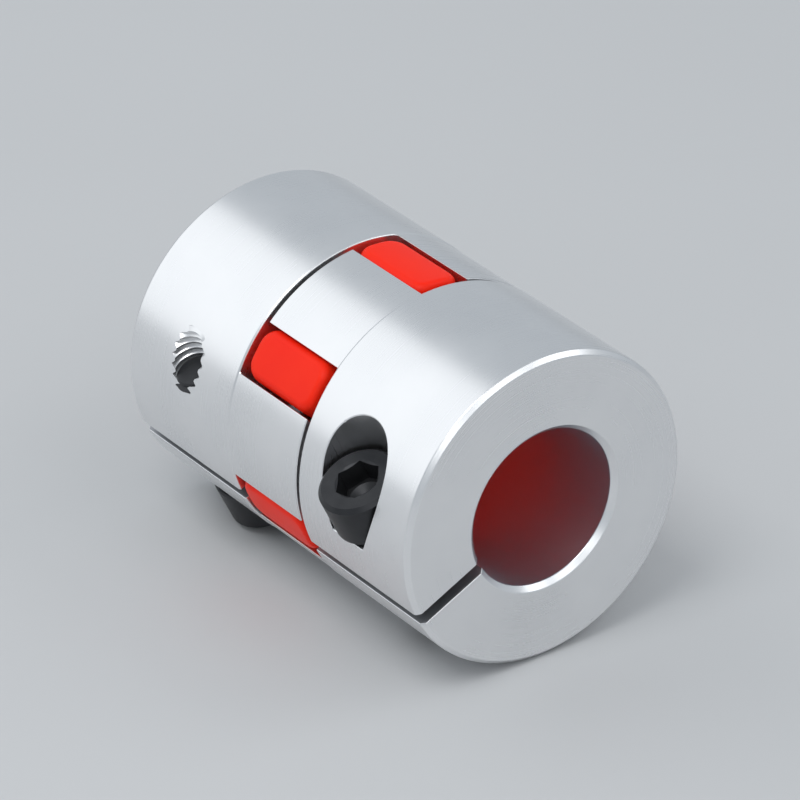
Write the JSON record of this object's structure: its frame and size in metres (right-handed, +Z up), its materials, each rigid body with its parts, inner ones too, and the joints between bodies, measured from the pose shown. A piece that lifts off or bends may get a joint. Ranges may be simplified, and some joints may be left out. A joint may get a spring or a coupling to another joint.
{
  "type": "jaw coupling",
  "caption": "Clamp-type shaft coupling: aluminium hubs with interlocking jaws, a red elastic spider between them, and a cap screw that closes each slit hub.",
  "frame": {"origin": "on the shaft axis, midway between the two end faces", "axes": "+X along the shaft axis towards the near hub's end face, +Z up with the coupling lying on its side, the slits below the axis on the -Y side"},
  "size_m": [0.057, 0.0427, 0.04],
  "materials": {
    "satin_aluminium": "fine turned satin",
    "red_polyurethane": "smooth moulded semi-gloss",
    "black_oxide_steel": "black oxide, satin"
  },
  "bodies": {
    "far_hub": {"far_hub": "satin_aluminium"},
    "spider": {"spider": "red_polyurethane"},
    "near_hub": {"near_hub": "satin_aluminium"},
    "near_clamp_screw": {"near_clamp_screw": "black_oxide_steel"},
    "far_clamp_screw": {"far_clamp_screw": "black_oxide_steel"}
  },
  "joints": [
    {"name": "spider_wind_up", "type": "hinge", "parent": "far_hub", "child": "spider", "pos_m": [0, 0, 0], "axis": [1, 0, 0], "range_deg": [-0.8, 0.8], "stiffness_Nm_per_rad": 1},
    {"name": "near_hub_pull_off", "type": "slide", "parent": "spider", "child": "near_hub", "axis": [1, 0, 0], "range_m": [0, 0.016]},
    {"name": "near_screw_turn", "type": "hinge", "parent": "near_hub", "child": "near_clamp_screw", "pos_m": [0.0168, -0.01294, -0.00631], "axis": [0, -0.4384, 0.8988], "range_deg": [0, 720]},
    {"name": "far_screw_turn", "type": "hinge", "parent": "far_hub", "child": "far_clamp_screw", "pos_m": [-0.0168, -0.01294, -0.00631], "axis": [0, 0.4384, -0.8988], "range_deg": [0, 720]}
  ]
}
